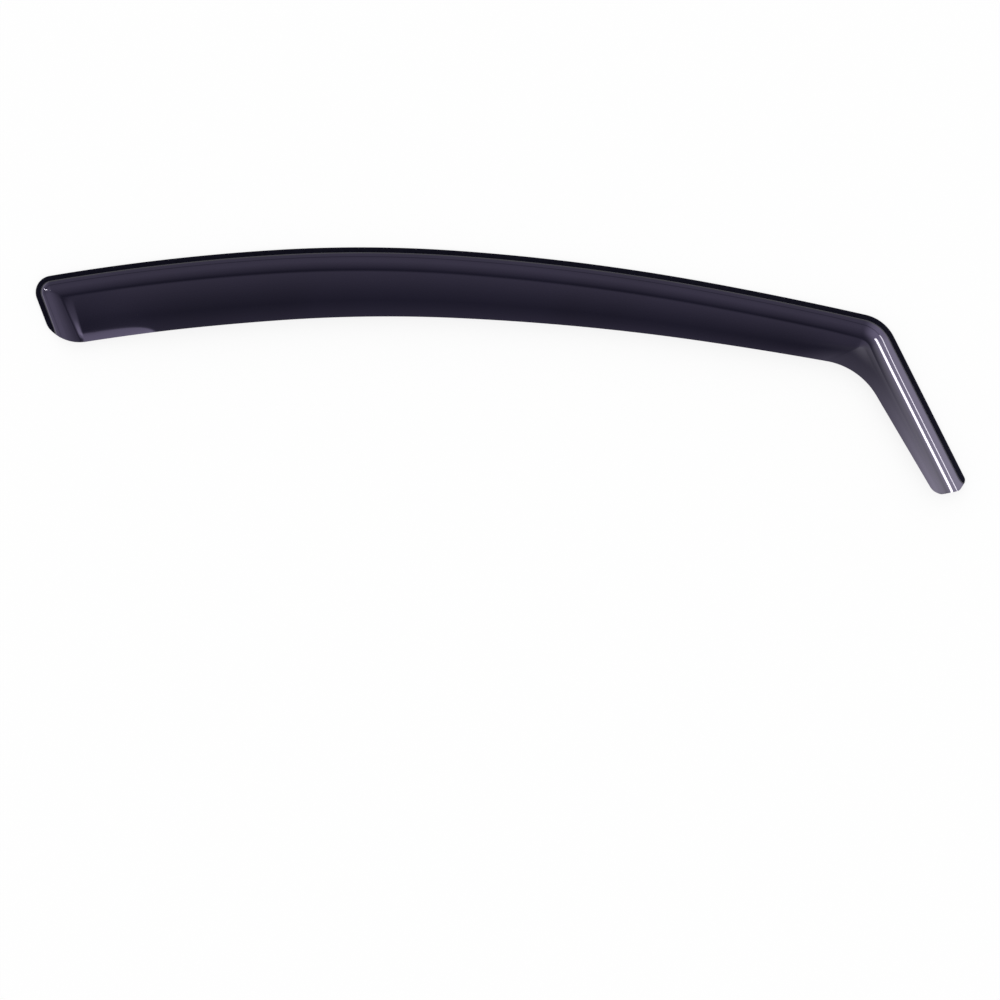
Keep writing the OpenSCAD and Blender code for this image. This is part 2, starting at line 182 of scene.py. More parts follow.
strength = walls
for side in GLOWS:
    strength = add_math(room, "ADD", strength, glow(*side))
strength = add_math(room, "MULTIPLY", strength, remap(room, tilt, 92, 76, 0.45, 1.0))
low_down = remap(room, tilt, 64, 82)
colour = add_node(room, "Mix", {0: low_down, 6: VIOLET, 7: PALE}, data_type="RGBA").outputs[2]
tent = add_node(room, "Background", {"Color": colour, "Strength": strength})
plain = add_node(room, "Background", {"Color": (1, 1, 1, 1), "Strength": 1.0})
rays = add_node(room, "LightPath").outputs
shown = add_node(
    room, "MixShader", {0: rays["Is Glossy Ray"], 1: plain.outputs[0], 2: tent.outputs[0]}
)
add_node(room, "OutputWorld", {0: shown.outputs[0]})
print("world nodes:", len(room.nodes))


# %% [markdown]
# ## Cards and a strip lamp
# The front leg is much lighter than the rest, and two white lines run along it. These are
# reflections that only the leg shows. A broad soft card stands above and beyond its tip, a small
# one hangs close over it and lights its nearly level inner side, and one narrow, very bright strip
# lies parallel to it. A fourth card makes the small highlight at the rear corner. Cards that only
# glossy rays see shape the reflections and leave the plain, even light on the floor alone.

# %% Make a card that only shows in reflections
def add_card(name, centre, aim, along, size, strength, colour=(1, 1, 1, 1)):
    """A rectangle at centre that faces aim. along is the direction of its length."""
    towards = (Vector(aim) - Vector(centre)).normalized()
    across = Vector(along).cross(towards).normalized()
    up = towards.cross(across).normalized()
    half_w, half_l = size[0] / 2, size[1] / 2
    corners = [
        Vector(centre) + across * a * half_w + up * b * half_l
        for a, b in ((-1, -1), (1, -1), (1, 1), (-1, 1))
    ]
    mesh = bpy.data.meshes.new(name)
    mesh.from_pydata(corners, [], [(0, 1, 2, 3)])
    layer = mesh.uv_layers.new(name="card")
    for loop, uv in zip(layer.data, ((0, 0), (1, 0), (1, 1), (0, 1))):
        loop.uv = uv
    card = bpy.data.objects.new(name, mesh)
    bpy.context.scene.collection.objects.link(card)
    card.visible_camera = False
    card.visible_diffuse = False
    card.visible_shadow = False
    card.visible_transmission = False
    material = bpy.data.materials.new(name)
    material.use_nodes = True
    tree = material.node_tree
    tree.nodes.clear()
    level = strength(tree) if callable(strength) else strength
    lamp = add_node(tree, "Emission", {"Color": colour, "Strength": level})
    clear = add_node(tree, "BsdfTransparent")
    both = add_node(tree, "AddShader", {0: lamp.outputs[0], 1: clear.outputs[0]})
    add_node(tree, "OutputMaterial", {0: both.outputs[0]})
    mesh.materials.append(material)
    print(name + ":", size[0], "by", size[1], "m, at height", round(centre[2], 2))


def soft_level(*steps):
    """Smooth steps across a card (axis 0) and along it (axis 1), multiplied together."""

    def level(tree):
        place = add_node(tree, "SeparateXYZ", {0: add_node(tree, "TexCoord").outputs["UV"]}).outputs
        product = 1.0
        for axis, start, end, low, high in steps:
            step = remap(tree, place[axis], start, end, low, high)
            product = add_math(tree, "MULTIPLY", product, step)
        return product

    return level


# %% Hang the cards of the leg
LEG_MIDDLE = Vector((0.53, -0.16, 0.015))
LEG_OUT = Vector((cos(radians(LEG_SIDE)), sin(radians(LEG_SIDE)), 0))
LEG_DOWN = Vector((sin(radians(LEG_SIDE)), -cos(radians(LEG_SIDE)), 0))
UP = Vector((0, 0, 1))


def from_leg(tilt, distance):
    """A place seen from the leg's middle, tilted from straight up towards the leg's outer side."""
    lean = radians(tilt)
    return LEG_MIDDLE + distance * (sin(lean) * LEG_OUT + cos(lean) * UP)


add_card("strip_lamp", from_leg(41.0, 2.5), LEG_MIDDLE, LEG_DOWN, (0.42, 1.04), 30.0)
add_card(
    "leg_card",
    from_leg(36, 1.1),
    LEG_MIDDLE,
    LEG_DOWN,
    (1.5, 1.2),
    soft_level((0, 0.0, 0.25, 0.0, 1.0), (0, 1.0, 0.8, 0.0, 1.0), (1, 0.22, 0.80, 0.0, 3.4)),
)

near_centre = LEG_MIDDLE + 0.12 * UP - 0.03 * LEG_OUT + 0.03 * LEG_DOWN
add_card(
    "near_card",
    near_centre,
    near_centre - UP,
    LEG_DOWN,
    (0.16, 0.26),
    soft_level((0, 0.1, 0.62, 0.7, 1.85), (0, 1.0, 0.62, 0.0, 1.0), (1, 0.0, 0.92, 0.0, 3.3)),
    colour=(0.96, 0.92, 1.07, 1),
)

# %% Light the rear corner
CORNER_SPOT = Vector((-0.302, -0.041, 0.012))


def from_corner(azimuth, tilt, distance):
    a, t = radians(azimuth), radians(tilt)
    return CORNER_SPOT + distance * Vector((sin(t) * cos(a), sin(t) * sin(a), cos(t)))


add_card("corner_lamp", from_corner(168, 56.6, 3.0), CORNER_SPOT, UP, (0.28, 0.16), 60.0)

# %% [markdown]
# ## The floor
# The photograph has a plain white ground with hardly a shadow. A matte white plane takes the soft
# shadow, and for the camera alone most of it is mixed with plain white, which lightens that shadow.

# %% Lay the floor under the flange
FLOOR_REACH = 30
FLOOR_BELOW = 0.2 * MM
WHITE_SHARE = 0.8


def make_floor():
    reach = FLOOR_REACH
    mesh = bpy.data.meshes.new("floor")
    mesh.from_pydata(
        [(-reach, -reach, 0), (reach, -reach, 0), (reach, reach, 0), (-reach, reach, 0)],
        [],
        [(0, 1, 2, 3)],
    )
    floor = bpy.data.objects.new("floor", mesh)
    floor.location.z = -FLOOR_BELOW
    bpy.context.scene.collection.objects.link(floor)
    material = bpy.data.materials.new("floor")
    material.use_nodes = True
    tree = material.node_tree
    tree.nodes.clear()
    matte = add_node(tree, "BsdfDiffuse", {"Color": (0.97, 0.97, 0.97, 1)})
    white = add_node(tree, "Emission", {"Color": (1, 1, 1, 1), "Strength": 1.0})
    camera_ray = add_node(tree, "LightPath").outputs["Is Camera Ray"]
    seen = add_math(tree, "MULTIPLY", camera_ray, WHITE_SHARE)
    both = add_node(tree, "MixShader", {0: seen, 1: matte.outputs[0], 2: white.outputs[0]})
    add_node(tree, "OutputMaterial", {0: both.outputs[0]})
    mesh.materials.append(material)
    print("floor:", 2 * reach, "m square,", WHITE_SHARE, "of it plain white for the camera")


make_floor()

# %% [markdown]
# ## The upper edge
# A trimmed sheet gets its shape from a few drawn curves, and the longest is the upper edge that
# follows the window frame. It could be a free curve with handles, but arcs that meet at a tangent
# are how such an edge is drawn, and they need only a radius and an angle each. We walk along them
# with a pose: a place and a heading. The path turns clockwise, so inward is always to its right.


# %% Walk along arcs
def turned(pose, radius, angle):
    x, y, heading = pose
    return (
        x + radius * (sin(heading) - sin(heading - angle)),
        y - radius * (cos(heading) - cos(heading - angle)),
        heading - angle,
    )


def ahead(pose, distance):
    x, y, heading = pose
    return (x + distance * cos(heading), y + distance * sin(heading), heading)


def inward(pose, e):
    """The point at distance e to the right of the pose."""
    x, y, heading = pose
    return (x + e * sin(heading), y - e * cos(heading))


def flip(point):
    return (-point[0], point[1])


def mix(a, b, t):
    if isinstance(a, tuple):
        return tuple(mix(u, v, t) for u, v in zip(a, b))
    return a + (b - a) * t


def clamp(t):
    return min(1.0, max(0.0, t))


def smooth(t):
    t = clamp(t)
    return t * t * (3 - 2 * t)


quarter = turned((0, 0, 0), 10, pi / 2)
print("a quarter turn of radius 10 ends at", [round(v, 2) for v in quarter])


# %% The arcs of the upper edge, from the highest point to the front and to the rear
FLANGE_W = 3.9
CROWN = (0.0, FLANGE_W / 2, 0.0)
CROWN_R = 1333
CROWN_REAR = radians(3.55)
REAR_R = 2093
FRONT_ARCS = [(CROWN_R, radians(4)), (2207, radians(6.45)), (3794, radians(2.32))]
REAR_ARCS = [(CROWN_R, CROWN_REAR), (REAR_R, radians(6.02))]
FRONT_LEN = sum(radius * angle for radius, angle in FRONT_ARCS)
REAR_LEN = sum(radius * angle for radius, angle in REAR_ARCS)


def along(arcs, s):
    """The pose at distance s from the highest point."""
    pose = CROWN
    for k, (radius, angle) in enumerate(arcs):
        if s <= radius * angle or k == len(arcs) - 1:
            return turned(pose, radius, s / radius)
        pose = turned(pose, radius, angle)
        s -= radius * angle


def edge_point(s, e):
    if s >= 0:
        return inward(along(FRONT_ARCS, s), e)
    return flip(inward(along(REAR_ARCS, -s), e))


print("upper edge:", round(FRONT_LEN + REAR_LEN), "mm")

# %% [markdown]
# ## The free edge
# The lower edge isn't parallel to the upper one: the panel is widest over its rear and narrows
# towards the bend. A width that changes smoothly along the upper edge says this in one function.

# %% Panel width
REAR_W, NECK_W = 68.9, 51.3
NARROW_FROM = 151
NECK_TAPER = radians(2.23)


def width(s):
    run = FRONT_LEN + NARROW_FROM
    t = clamp((s + NARROW_FROM) / run)
    return mix(REAR_W, NECK_W, smooth(t)) - tan(NECK_TAPER) * run * (t**3 - t**2)


def free_point(s):
    return edge_point(s, width(s))


print("panel:", REAR_W, "mm wide at the rear,", round(width(FRONT_LEN), 1), "mm at the bend")


# %% [markdown]
# ## The rear end
# At the rear the upper edge turns down through a tight corner, runs straight for about 26 mm, and
# comes round to the free edge in two arcs, the heel and the toe. Lines farther in, such as the
# crease, turn the same corner more tightly, and no tighter than the forming tool allows.

# %% The rear corner
CORNER_R, MIN_CORNER_R = 16.1, 2
END_LEN = 25.9
HEEL_R, HEEL = 20, radians(24.5)

corner_start = along(REAR_ARCS, REAR_LEN)
CORNER = pi / 2 + radians(20.8) + corner_start[2]
corner_end = turned(corner_start, CORNER_R, CORNER)
corner_centre = inward(corner_start, CORNER_R)
half_corner = (pi - CORNER) / 2
into_corner = corner_start[2] - CORNER / 2


def corner_shift(e):
    return max(0.0, e + MIN_CORNER_R - CORNER_R)


def corner_setback(e):
    return corner_shift(e) / tan(half_corner)


def end_point(e, t):
    return flip(inward(ahead(corner_end, t), e))


def corner_point(e, angle):
    centre = inward((*corner_centre, into_corner), corner_shift(e) / sin(half_corner))
    radius = max(CORNER_R - e, MIN_CORNER_R)
    return flip(inward((*centre, corner_start[2] - angle), -radius))


def beside_end(point):
    """How far a point lies inside the rear end's line, and how far down it."""
    x, y = flip(point)
    x0, y0, heading = corner_end
    dx, dy = x - x0, y - y0
    return dx * sin(heading) - dy * cos(heading), dx * cos(heading) + dy * sin(heading)


print("rear corner:", round(CORNER * 180 / pi, 1), "degrees")


# %% The heel and the toe
crown_centre = inward(CROWN, CROWN_R)
rear_centre = inward(turned(CROWN, CROWN_R, CROWN_REAR), REAR_R)
free_r = REAR_R - REAR_W
heel_start = turned(ahead(corner_end, END_LEN), HEEL_R, HEEL)
heel_in = (sin(heel_start[2]), -cos(heel_start[2]))
arm = (heel_start[0] - rear_centre[0], heel_start[1] - rear_centre[1])
TOE_R = (arm[0] ** 2 + arm[1] ** 2 - free_r**2) / (
    2 * (free_r - heel_in[0] * arm[0] - heel_in[1] * arm[1])
)
toe_centre = inward(heel_start, TOE_R)
toe_arm = (toe_centre[0] - rear_centre[0], toe_centre[1] - rear_centre[1])
TOE = 2 * pi + heel_start[2] - atan2(toe_arm[0], -toe_arm[1])


def curve_table(arcs, start, run=0.0):
    """Points of [distance inside, distance along] on arcs that each start where the last ended."""
    points = [start]
    turn = run
    e, t = start
    for radius, angle, straight, count in arcs:
        for k in range(1, count + 1):
            a = turn + angle * k / count
            points.append(
                (e + radius * (cos(turn) - cos(a)), t + radius * (sin(a) - sin(turn)))
            )
        turn += angle
        e, t = points[-1]
        if straight:
            e, t = e + straight * sin(turn), t + straight * cos(turn)
            points.append((e, t))
    return points


def look_up(table, e):
    if e <= table[0][0]:
        return table[0][1]
    for (e0, t0), (e1, t1) in zip(table, table[1:]):
        if e <= e1:
            return mix(t0, t1, (e - e0) / (e1 - e0)) if e1 > e0 else t1
    return table[-1][1]


heel_line = curve_table([(HEEL_R, HEEL, 0, 8), (TOE_R, TOE, 0, 36)], (0.0, END_LEN))
toe_end = heel_line[-1]
toe_dir = (sin(HEEL + TOE), cos(HEEL + TOE))
TOE_GAP = 4
free_start = end_point(toe_end[0] + TOE_GAP * toe_dir[0], toe_end[1] + TOE_GAP * toe_dir[1])
heel_line.append((toe_end[0] + 5 * TOE_GAP * toe_dir[0], toe_end[1] + 5 * TOE_GAP * toe_dir[1]))
free_arm = (-free_start[0] - rear_centre[0], free_start[1] - rear_centre[1])
FREE_REAR_LEN = CROWN_R * CROWN_REAR + REAR_R * (-atan2(-free_arm[0], free_arm[1]) - CROWN_REAR)


def heel_at(e):
    return look_up(heel_line, e)


print("toe radius:", round(TOE_R, 1), "mm over", round(TOE * 180 / pi, 1), "degrees")

# %% [markdown]
# ## The front leg
# At the front the sheet bends down through 51 degrees into a straight leg that tapers to a rounded
# tip. The inner bend is a larger arc, tangent to the free edge and to the leg's inner edge.

# %% The bend and the leg
BEND_R, BEND = 40.2, radians(50.6)
BEND_LEN = BEND_R * BEND
INNER_BEND_R = 69.7
LEG_LEN = 152.3
LEG_ROOT_W, LEG_TIP_W = 44.1, 33.8

bend_start = along(FRONT_ARCS, FRONT_LEN)
bend_end = turned(bend_start, BEND_R, BEND)
leg_taper = (LEG_ROOT_W - LEG_TIP_W) / LEG_LEN


def leg_point(e, t):
    return inward(ahead(bend_end, t), e)


FIT_RUN, BEND_GAP = 40, 2
before_bend = FRONT_LEN - FIT_RUN
free_near = free_point(before_bend)
nearer, farther = free_point(before_bend - 1), free_point(before_bend + 1)
free_heading = atan2(farther[1] - nearer[1], farther[0] - nearer[0])
inner_heading = bend_end[2] + atan(leg_taper)
inner_turn = free_heading - inner_heading
inner_start = leg_point(LEG_ROOT_W, 0)


def cross(ax, ay, bx, by):
    return ax * by - ay * bx


to_leg = (inner_start[0] - free_near[0], inner_start[1] - free_near[1])
to_meeting = cross(*to_leg, cos(inner_heading), sin(inner_heading)) / cross(
    cos(free_heading), sin(free_heading), cos(inner_heading), sin(inner_heading)
)
inner_tangent = INNER_BEND_R * tan(inner_turn / 2)
FREE_FRONT_LEN = before_bend + to_meeting - inner_tangent - BEND_GAP
inner_bend = ahead((*free_near, free_heading), to_meeting - inner_tangent)
bend_foot = turned(inner_bend, INNER_BEND_R, inner_turn)[:2]
print("inner bend:", round(inner_turn * 180 / pi, 1), "degrees")

# %% The tip: a corner, a slanted cut, a second corner, the end, and the inner corner
TIP_OUTER_R, TIP_OUTER = 6, radians(60)
TIP_CUT = 6.5
TIP_MID_R, TIP_MID = 5, radians(45)
TIP_INNER_R = 14
tip_inner = pi - atan(leg_taper)

tip_line = curve_table(
    [(TIP_OUTER_R, TIP_OUTER, TIP_CUT, 10), (TIP_MID_R, TIP_MID, 0, 8)], (0.0, LEG_LEN)
)
tip_turn = TIP_OUTER + TIP_MID
tip_round = (
    TIP_INNER_R * (cos(tip_turn) - cos(tip_inner)),
    TIP_INNER_R * (sin(tip_inner) - sin(tip_turn)),
)
reach = [tip_line[-1][k] + tip_round[k] for k in (0, 1)]
tip_end_len = (LEG_TIP_W + leg_taper * LEG_LEN - reach[0] - reach[1] * leg_taper) / (
    sin(tip_turn) + cos(tip_turn) * leg_taper
)
inner_corner_start = (
    tip_line[-1][0] + tip_end_len * sin(tip_turn),
    tip_line[-1][1] + tip_end_len * cos(tip_turn),
)
tip_line += curve_table(
    [(TIP_INNER_R, tip_inner - tip_turn, 0, 28)], inner_corner_start, run=tip_turn
)
tip_last = tip_line[-1]


def tip_at(e):
    return look_up(tip_line, e)


print("the leg ends", round(tip_last[0], 1), "mm inside its outer edge")

# %% [markdown]
# ## Stations
# The sheet is lofted: a cross-section is placed at many stations from the foot of the rear end to
# the tip, and neighbouring sections are joined. Smooth reflections need many stations, most of all
# round the corner and the bend. They crowd a little towards the tip, where the flange runs out.

# %% List the stations as (stretch, share of that stretch)
END, AROUND, REAR, FRONT, BENDING, LEG = range(6)
STEPS = {END: 26, AROUND: 34, REAR: 84, FRONT: 140, BENDING: 40, LEG: 64}
stations = [(END, 0.0)]
for stretch, count in STEPS.items():
    stations += [(stretch, (k + 1) / count) for k in range(count)]
FREE_TURN_SHARE = 0.84  # of the free edge's rear length, where the rear corner's stations end
END_SHARE = 0.375  # of that turn, where the rear end's stations stop
CROWDING = 1.35


def leg_share(q):
    """Crowds the leg's stations towards its rounded tip."""
    return 1 - (1 - q) ** CROWDING


def line_point(station, e):
    """A point on the line at distance e inside the upper edge."""
    stretch, q = station
    if stretch == END:
        return end_point(e, mix(heel_at(e), corner_setback(e), q))
    if stretch == AROUND:
        return corner_point(e, CORNER * (1 - q))
    if stretch == REAR:
        return edge_point((corner_setback(e) - REAR_LEN) * (1 - q), e)
    if stretch == FRONT:
        return edge_point(FRONT_LEN * q, e)
    if stretch == BENDING:
        return inward(turned(bend_start, BEND_R, BEND * q), e)
    return leg_point(e, leg_share(q) * tip_at(e))


def free_at(station):
    """Where the section meets the free edge, as a place along the upper edge."""
    stretch, q = station
    rear = FREE_REAR_LEN * FREE_TURN_SHARE
    if stretch == END:
        return -mix(FREE_REAR_LEN, rear, END_SHARE * q)
    if stretch == AROUND:
        return -mix(FREE_REAR_LEN, rear, mix(END_SHARE, 1, q))
    if stretch == REAR:
        return -(REAR_LEN * (1 - q) - (REAR_LEN - rear) * (1 - q) ** 4)
    return FRONT_LEN * q - (FRONT_LEN - FREE_FRONT_LEN) * q**4


def free_edge(station):
    stretch, q = station
    if station == stations[0]:
        return free_start
    if stretch <= FRONT:
        return free_point(free_at(station))
    if stretch == BENDING:
        return turned(inner_bend, INNER_BEND_R, inner_turn * q)[:2]
    return mix(bend_foot, leg_point(*tip_last), leg_share(q))


def station_width(station):
    stretch, q = station
    if stretch <= FRONT:
        return width(free_at(station))
    if stretch == BENDING:
        return mix(width(FREE_FRONT_LEN), LEG_ROOT_W, smooth(q))
    return mix(LEG_ROOT_W, tip_last[0], leg_share(q))


print(len(stations), "stations")

# %% [markdown]
# ## The cross-section
# From the upper edge inwards the sheet has a level flange with a rounded rim, a tight bend up into
# the riser, a wide bend over into the shoulder, a fine styling line, and a knee that levels out at
# the crease. Straight and round pieces follow each other at a tangent, as in pressed plastic. Each
# row is a point on the front and its partner on the back, one sheet thickness away.

# %% How the section changes along the sheet
WALL = 3
RIM_R = 1
RISER_H, HEEL_RISER_H, RISER = 2.17, 0.3, radians(80)
FORM_R = 0.5
OUTER_FORM_R = WALL + FORM_R
SHOULDER = radians(28)
KNEE_AT = 13.5
CREASE_AT, HEEL_CREASE_AT, LEG_CREASE_AT = 22.2, 25.2, 26.2
HEEL_CREASE_SLOPE = radians(8)
LINE_AT, LEG_LINE_AT = 9.2, 12.4
LINE_W, LINE_DROP = 0.8, radians(10)
LIP_W, HEEL_LIP_W, LEG_LIP_W = 11.4, 4.6, 3
RUN_OUT, TIP_FLANGE = 10, 0.2
BLEND_RUN = 40


def leg_part(station):
    """How much a station's section is the leg's, from 0 to 1."""
    stretch, q = station
    if stretch < FRONT:
        return 0.0
    if stretch == FRONT:
        s = FRONT_LEN * (q - 1)
    elif stretch == BENDING:
        s = BEND_LEN * q
    else:
        s = BEND_LEN + leg_share(q) * LEG_LEN
    return smooth((s + BLEND_RUN) / (BEND_LEN + 2 * BLEND_RUN))


def end_part(station):
    """How much a station's section is the rear end's, from 0 to 1."""
    stretch, q = station
    return 1.0 if stretch == END else smooth(1 - q) if stretch == AROUND else 0.0


def crease_e(station):
    stretch, q = station
    if stretch == END:
        return mix(HEEL_CREASE_AT, CREASE_AT, q)
    return mix(CREASE_AT, LEG_CREASE_AT, leg_part(station))


def lip_e(station):
    stretch, q = station
    if stretch == END:
        return mix(HEEL_LIP_W, LIP_W, q)
    return mix(LIP_W, LEG_LIP_W, leg_part(station))


def flange_e(station):
    """The flange narrows in a quarter ellipse as it runs out at the tip."""
    q = leg_share(station[1]) if station[0] == LEG else 0.0
    t = clamp(1 - (1 - q) * LEG_LEN / RUN_OUT)
    return mix(RIM_R + TIP_FLANGE, FLANGE_W, sqrt(1 - t * t))


def crease_slope(station):
    return HEEL_CREASE_SLOPE * end_part(station)


creases = [round(crease_e(place), 1) for place in ((END, 0.0), (REAR, 0.0), (LEG, 1.0))]
print("crease:", creases, "mm inside the edge at the rear end, the top and the tip")


# %% The bend above the riser, which brings the crease to the same height round the corner
TOP_GAIN = cos(SHOULDER) - cos(RISER) - tan(SHOULDER) * (sin(RISER) - sin(SHOULDER))


def riser_h(station):
    return mix(RISER_H, HEEL_RISER_H, end_part(station))


def line_slope(station):
    return SHOULDER - LINE_DROP * (1 - end_part(station))


def knee_rise(e, slope):
    return (e - KNEE_AT) * tan((SHOULDER + slope) / 2)


def top_r(station):
    if station[0] > AROUND:
        return OUTER_FORM_R
    lost = (RISER_H - riser_h(station)) * (1 - tan(SHOULDER) / tan(RISER))
    lost += LINE_W * (tan(SHOULDER - LINE_DROP) - tan(line_slope(station)))
    lost += knee_rise(CREASE_AT, 0) - knee_rise(crease_e(station), crease_slope(station))
    return OUTER_FORM_R + lost / TOP_GAIN


print("bend above the riser:", round(top_r((AROUND, 0.0)), 2), "mm at the rear corner")


# %% One cross-section, from the upper edge to the crease
def sheet(e, z, slope):
    return e, z, e + WALL * sin(slope), z - WALL * cos(slope)


def arc_shares(count, first=0):
    return [k / count for k in range(first, count + 1)]


RIM_STEPS, FLANGE_STEPS, FORM_STEPS, TOP_STEPS, KNEE_STEPS = 8, 3, 6, 10, 14


def rim_rows(flange):
    """The rounded rim, the level flange and the tight bend up into the riser."""
    rows = []
    for t in arc_shares(RIM_STEPS):
        a = t * pi / 2
        e = RIM_R * (1 - cos(a))
        rows.append((e, WALL - RIM_R * (1 - sin(a)), e, 0.0))
    for t in arc_shares(FLANGE_STEPS, 1):
        e = mix(RIM_R, flange, t)
        rows.append((e, WALL, e, 0.0))
    for t in arc_shares(FORM_STEPS, 1):
        a = RISER * t
        rows.append(sheet(flange + FORM_R * sin(a), WALL + FORM_R * (1 - cos(a)), a))
    return rows


def top_rows(station, flange, e, z):
    """The straight riser from e, z, and the wide bend over into the shoulder."""
    bend = top_r(station)
    riser_len = (riser_h(station) - (FLANGE_W - flange) * tan(SHOULDER)) / sin(RISER)
    top_e, top_z = e + riser_len * cos(RISER), z + riser_len * sin(RISER)
    rows = []
    for t in arc_shares(TOP_STEPS):
        a = mix(RISER, SHOULDER, t)
        over, up = bend * (sin(RISER) - sin(a)), bend * (cos(a) - cos(RISER))
        rows.append(sheet(top_e + over, top_z + up, a))
    return rows


print("rows from the rim to the foot of the riser:", len(rim_rows(FLANGE_W)))


# %% The shoulder with its styling line, and the knee
SHOULDER_SHARES = (0.33, 0.67)
LINE_SOFT = 0.06


def shoulder_rows(station, start_e, start_z):
    """The shoulder from start_e, start_z up to the knee, and the knee's height."""
    line = mix(LINE_AT, LEG_LINE_AT, leg_part(station))
    tilt = line_slope(station)
    line_start, line_end = line - LINE_W / 2, line + LINE_W / 2
    line_z = start_z + (line_start - start_e) * tan(SHOULDER)
    line_end_z = line_z + LINE_W * tan(tilt)
    knee_z = line_end_z + (KNEE_AT - line_end) * tan(SHOULDER)
    rows = []
    for e in (*(mix(start_e, line_start, t) for t in SHOULDER_SHARES), line_start - LINE_SOFT):
        rows.append(sheet(e, start_z + (e - start_e) * tan(SHOULDER), SHOULDER))
    before = rows[-1]
    after = sheet(line_end + LINE_SOFT, line_end_z + LINE_SOFT * tan(SHOULDER), SHOULDER)
    for e, z in (
        (line_start + LINE_SOFT, line_z + LINE_SOFT * tan(tilt)),
        (line, (line_z + line_end_z) / 2),
        (line_end - LINE_SOFT, line_end_z - LINE_SOFT * tan(tilt)),
    ):
        t = (e - before[0]) / (after[0] - before[0])
        rows.append((e, z, mix(before[2], after[2], t), mix(before[3], after[3], t)))
    middle = (line_end + LINE_SOFT + KNEE_AT) / 2
    middle_z = line_end_z + (middle - line_end) * tan(SHOULDER)
    return [*rows, after, sheet(middle, middle_z, SHOULDER)], knee_z


def knee_rows(station, knee_z):
    """The arc that levels the shoulder out at the crease."""
    end_slope = crease_slope(station)
    knee_r = (crease_e(station) - KNEE_AT) / (sin(SHOULDER) - sin(end_slope))
    rows = []
    for t in arc_shares(KNEE_STEPS):
        a = mix(SHOULDER, end_slope, t)
        over, up = knee_r * (sin(SHOULDER) - sin(a)), knee_r * (cos(a) - cos(SHOULDER))
        rows.append(sheet(KNEE_AT + over, knee_z + up, a))
    return rows


def section(station):
    flange = flange_e(station)
    rows = rim_rows(flange)
    rows += top_rows(station, flange, *rows[-1][:2])
    shoulder, knee_z = shoulder_rows(station, *rows[-1][:2])
    return rows + shoulder + knee_rows(station, knee_z)


print(len(section(stations[0])), "rows from the upper edge to the crease")

# %% [markdown]
# ## The bowed panel
# Beyond the crease the sheet swells into one long bow and falls again to the free edge. Beside the
# rear end a lip rises from the crease instead, with a crisp inner edge. Heights are a function of
# the place on the sheet, so the panel is the same smooth surface however it is divided.

# %% Height of the panel above the crease
PANEL_RISE, PANEL_FALL = radians(18), radians(11)
LEG_RISE, LEG_FALL = radians(4), radians(9)
CREASE_R = 6
REAR_BOW = 0.65
ROLL_W, ROLL_LEN = 9.2, 59
ROLL, ROLL_R, ROLL_SOFT = radians(16.5), 42, 0.8


def bow(u, run, rise, fall):
    """A small hollow up to slope rise, then one long bow."""
    hollow = CREASE_R * sin(rise)
    radius = (run - hollow) / (sin(rise) + sin(fall))
    if u <= 0:
        return 0.0
    if u < hollow:
        return CREASE_R - sqrt(CREASE_R**2 - u * u)
    v = u - hollow - radius * sin(rise)
    return CREASE_R * (1 - cos(rise)) + sqrt(radius**2 - v * v) - radius * cos(rise)


def roll(t):
    """How far the rolled edge has dropped at distance t from where it starts."""
    if t <= 0:
        return 0.0
    soft = clamp(t / ROLL_SOFT)
    return tan(ROLL) * (t - ROLL_SOFT * (soft - soft**2 / 2)) + t * t / (2 * ROLL_R)


def ramp(t, soft, crisp):
    """From 0 to 1, with a soft start and a crisper end."""
    t = clamp(t)
    slope = 1 / (1 - soft / 2 - crisp / 2)
    if t < soft:
        return slope * t * t / (2 * soft)
    if t < 1 - crisp:
        return slope * (t - soft / 2)
    return 1 - slope * (1 - t) ** 2 / (2 * crisp)


def rear_depth(point):
    """Distance from the upper edge, behind the highest point."""
    x, y = flip(point)
    dx, dy = x - rear_centre[0], y - rear_centre[1]
    if atan2(dx, dy) > CROWN_REAR:
        return REAR_R - hypot(dx, dy)
    return CROWN_R - hypot(x - crown_centre[0], y - crown_centre[1])


def panel_height(station, point, e):
    part = leg_part(station)
    rise = mix(PANEL_RISE, LEG_RISE, part)
    fall = mix(PANEL_FALL, LEG_FALL, part)
    run = station_width(station) - mix(CREASE_AT, LEG_CREASE_AT, part)
    if station[0] > REAR:
        return bow(e - crease_e(station), run, rise, fall)
    u = rear_depth(point) - CREASE_AT
    inside, down = beside_end(point)
    down = clamp(down / heel_at(CREASE_AT))
    beside = inside - mix(CREASE_AT, HEEL_CREASE_AT, down)
    away = clamp((beside - LIP_W) / ROLL_LEN)
    height = bow(u, run, rise, fall) * mix(REAR_BOW, 1, smooth(away))
    height -= roll(ROLL_W * sqrt(1 - away**4) - (run - u))
    return height * ramp(beside / mix(LIP_W, HEEL_LIP_W, down), 0.25, 0.2)


widest = REAR_W - CREASE_AT
crest = max(bow(u, widest, PANEL_RISE, PANEL_FALL) for u in range(round(widest)))
print("the bow stands", round(crest, 1), "mm above the crease where the panel is widest")


# %% The front of the sheet at one station
LIP_SHARES = [0.026, 0.052, 0.08, 0.11, 0.14, 0.17, 0.21, 0.25, 0.31]
LIP_SHARES += [0.4, 0.5, 0.6, 0.7, 0.8, 0.85, 0.9, 0.95, 1]
PANEL_SHARES = [0.7 * k / 13 for k in range(1, 14)] + [0.7 + 0.3 * k / 9 for k in range(1, 10)]
leg_root = (BENDING, 1.0)


def crowded(t):
    """Crowds the rows towards the tip's inner corner."""
    return 1 - (1 - t) ** 2


